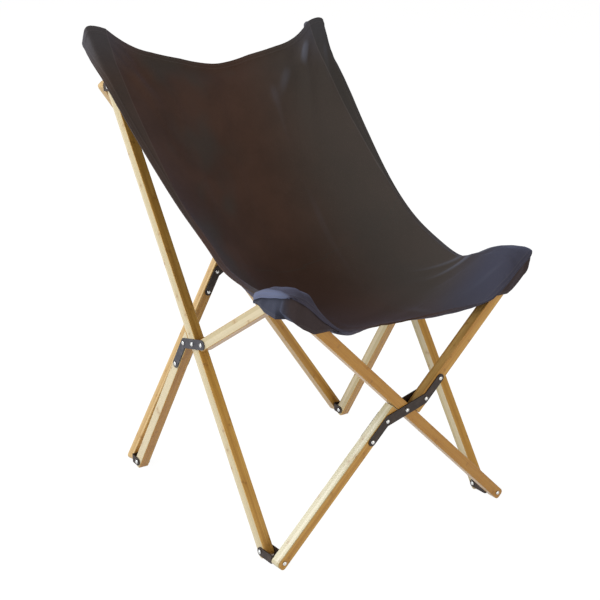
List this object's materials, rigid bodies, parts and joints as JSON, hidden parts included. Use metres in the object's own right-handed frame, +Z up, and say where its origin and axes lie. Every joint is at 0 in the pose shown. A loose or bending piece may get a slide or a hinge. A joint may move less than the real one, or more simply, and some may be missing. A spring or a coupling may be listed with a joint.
{
  "type": "butterfly sling chair",
  "caption": "Folding chair with a crossed bamboo strip frame, riveted steel joint plates and a canvas sling seat hung by corner pockets.",
  "frame": {"origin": "on the floor, at the middle of the chair's bounding box", "axes": "+X to the right as seen from in front, +Y to the rear (a sitter faces -Y), +Z up"},
  "size_m": [0.61, 0.7516, 0.9173],
  "materials": {
    "bamboo": "clear satin lacquer over laminated bamboo",
    "plates": "satin black-brown coating",
    "rivets": "bright domed heads",
    "canvas": "heavy plain weave cotton canvas, dark brown"
  },
  "bodies": {
    "front_left_foot": {"front_left_foot_clip": "plates", "front_left_foot_side_rivet": "rivets", "front_left_foot_frame_rivet": "rivets"},
    "left_long_bar": {"left_long_bar": "bamboo", "left_cross_rivet": "rivets", "top_left_pocket": "canvas"},
    "left_rear_leg": {"left_rear_leg": "bamboo", "left_elbow_plate_outer": "plates", "left_elbow_plate_inner": "plates", "left_link_rivet": "rivets"},
    "left_link": {"left_link": "bamboo", "front_left_top_side_rivet": "rivets"},
    "rear_left_foot": {"rear_left_foot_clip": "plates", "rear_left_foot_side_rivet": "rivets", "rear_left_foot_frame_rivet": "rivets"},
    "back_left_top": {"back_left_top_clip": "plates", "back_left_top_side_rivet": "rivets"},
    "back_split_bar": {"back_lower_bar": "bamboo", "back_upper_bar": "bamboo", "back_joint_plate_front": "plates", "back_joint_plate_rear": "plates", "back_cross_rivet": "rivets", "back_right_top_frame_rivet": "rivets"},
    "back_through_bar": {"back_through_bar": "bamboo", "back_left_top_frame_rivet": "rivets", "rear_right_foot_frame_rivet": "rivets"},
    "front_split_bar": {"front_lower_bar": "bamboo", "front_upper_bar": "bamboo", "front_joint_plate_front": "plates", "front_joint_plate_rear": "plates", "front_cross_rivet": "rivets"},
    "front_through_bar": {"front_through_bar": "bamboo"},
    "front_right_foot": {"front_right_foot_clip": "plates", "front_right_foot_side_rivet": "rivets", "front_right_foot_frame_rivet": "rivets"},
    "right_long_bar": {"right_long_bar": "bamboo", "right_cross_rivet": "rivets", "top_right_pocket": "canvas"},
    "right_rear_leg": {"right_rear_leg": "bamboo", "right_elbow_plate_outer": "plates", "right_elbow_plate_inner": "plates", "right_link_rivet": "rivets"},
    "right_link": {"right_link": "bamboo", "front_right_top_side_rivet": "rivets"},
    "rear_right_foot": {"rear_right_foot_clip": "plates", "rear_right_foot_side_rivet": "rivets"},
    "back_right_top": {"back_right_top_clip": "plates", "back_right_top_side_rivet": "rivets"},
    "front_left_top": {"front_left_top_clip": "plates", "front_left_top_frame_rivet": "rivets", "front_left_pocket": "canvas"},
    "front_right_top": {"front_right_top_clip": "plates", "front_right_top_frame_rivet": "rivets", "front_right_pocket": "canvas"},
    "sling_back": {"sling_back": "canvas"},
    "sling_seat": {"sling_seat": "canvas"}
  },
  "joints": [
    {"name": "fold", "type": "hinge", "parent": "front_left_foot", "child": "left_long_bar", "pos_m": [-0.277, -0.30177, 0.014], "axis": [1, 0, 0], "range_deg": [0, 30.8]},
    {"name": "left_leg_fold", "type": "hinge", "parent": "left_long_bar", "child": "left_rear_leg", "pos_m": [-0.277, -0.05018, 0.35031], "axis": [1, 0, 0], "range_deg": [-55.3, 0]},
    {"name": "left_link_fold", "type": "hinge", "parent": "left_rear_leg", "child": "left_link", "pos_m": [-0.277, -0.08217, 0.3581], "axis": [1, 0, 0], "range_deg": [-25.1, 0], "deforming": ["front_left_pocket"]},
    {"name": "rear_left_foot_fold", "type": "hinge", "parent": "left_rear_leg", "child": "rear_left_foot", "pos_m": [-0.277, 0.15823, 0.014], "axis": [1, 0, 0], "range_deg": [0, 33.3]},
    {"name": "back_left_top_fold", "type": "hinge", "parent": "left_long_bar", "child": "back_left_top", "pos_m": [-0.277, 0.28647, 0.80032], "axis": [1, 0, 0], "range_deg": [-22.2, 0]},
    {"name": "back_split_bar_fold", "type": "hinge", "parent": "rear_left_foot", "child": "back_split_bar", "pos_m": [-0.277, 0.19062, 0.01378], "axis": [0, 0.987, -0.161], "range_deg": [-23.95, 0]},
    {"name": "back_scissor_fold", "type": "hinge", "parent": "back_split_bar", "child": "back_through_bar", "pos_m": [0, 0.25434, 0.40448], "axis": [0, 0.987, -0.161], "range_deg": [0, 47.7]},
    {"name": "front_split_bar_fold", "type": "hinge", "parent": "front_left_foot", "child": "front_split_bar", "pos_m": [-0.277, -0.35077, 0.014], "axis": [0, 1, 0], "range_deg": [-33.7, 0]},
    {"name": "front_scissor_fold", "type": "hinge", "parent": "front_split_bar", "child": "front_through_bar", "pos_m": [0, -0.35077, 0.2638], "axis": [0, 1, 0], "range_deg": [0, 67.2]},
    {"name": "front_right_foot_fold", "type": "hinge", "parent": "front_through_bar", "child": "front_right_foot", "pos_m": [0.277, -0.35077, 0.014], "axis": [0, 1, 0], "range_deg": [-33.7, 0]},
    {"name": "right_bar_fold", "type": "hinge", "parent": "front_right_foot", "child": "right_long_bar", "pos_m": [0.277, -0.30177, 0.014], "axis": [1, 0, 0], "range_deg": [0, 31]},
    {"name": "right_leg_fold", "type": "hinge", "parent": "right_long_bar", "child": "right_rear_leg", "pos_m": [0.277, -0.05018, 0.35031], "axis": [1, 0, 0], "range_deg": [-55.3, 0]},
    {"name": "right_link_fold", "type": "hinge", "parent": "right_rear_leg", "child": "right_link", "pos_m": [0.277, -0.08217, 0.3581], "axis": [1, 0, 0], "range_deg": [-25.1, 0], "deforming": ["front_right_pocket"]},
    {"name": "rear_right_foot_fold", "type": "hinge", "parent": "right_rear_leg", "child": "rear_right_foot", "pos_m": [0.277, 0.15823, 0.014], "axis": [1, 0, 0], "range_deg": [0, 33.3]},
    {"name": "back_right_top_fold", "type": "hinge", "parent": "right_long_bar", "child": "back_right_top", "pos_m": [0.277, 0.28647, 0.80032], "axis": [1, 0, 0], "range_deg": [-22.2, 0]},
    {"name": "front_left_top_fold", "type": "hinge", "parent": "front_through_bar", "child": "front_left_top", "pos_m": [-0.277, -0.35077, 0.5136], "axis": [0, 1, 0], "range_deg": [-33.7, 0]},
    {"name": "front_right_top_fold", "type": "hinge", "parent": "front_split_bar", "child": "front_right_top", "pos_m": [0.277, -0.35077, 0.5136], "axis": [0, 1, 0], "range_deg": [0, 33.7]},
    {"name": "sling_back_fold", "type": "hinge", "parent": "left_long_bar", "child": "sling_back", "pos_m": [0, 0.36135, 0.90041], "axis": [1, 0, 0], "range_deg": [0, 12.76], "deforming": ["sling_back"]},
    {"name": "sling_seat_fold", "type": "hinge", "parent": "sling_back", "child": "sling_seat", "pos_m": [0, -0.01677, 0.411], "axis": [1, 0, 0], "range_deg": [-74.16, 0], "deforming": ["sling_seat"]}
  ],
  "couplings": [
    {"joint": "left_leg_fold", "follows": "fold", "ratio": -1.789},
    {"joint": "left_link_fold", "follows": "fold", "ratio": -0.8084},
    {"joint": "rear_left_foot_fold", "follows": "fold", "ratio": 1.0747},
    {"joint": "back_left_top_fold", "follows": "fold", "ratio": -0.7143},
    {"joint": "back_split_bar_fold", "follows": "fold", "ratio": -0.7711},
    {"joint": "back_scissor_fold", "follows": "fold", "ratio": 1.5422},
    {"joint": "front_split_bar_fold", "follows": "fold", "ratio": -1.0877},
    {"joint": "front_scissor_fold", "follows": "fold", "ratio": 2.1753},
    {"joint": "front_right_foot_fold", "follows": "fold", "ratio": -1.0877},
    {"joint": "right_bar_fold", "follows": "fold", "ratio": 1},
    {"joint": "right_leg_fold", "follows": "fold", "ratio": -1.789},
    {"joint": "right_link_fold", "follows": "fold", "ratio": -0.8084},
    {"joint": "rear_right_foot_fold", "follows": "fold", "ratio": 1.0747},
    {"joint": "back_right_top_fold", "follows": "fold", "ratio": -0.7143},
    {"joint": "front_left_top_fold", "follows": "fold", "ratio": -1.0877},
    {"joint": "front_right_top_fold", "follows": "fold", "ratio": 1.0877},
    {"joint": "sling_back_fold", "follows": "fold", "ratio": 0.408},
    {"joint": "sling_seat_fold", "follows": "fold", "ratio": -2.4014}
  ]
}
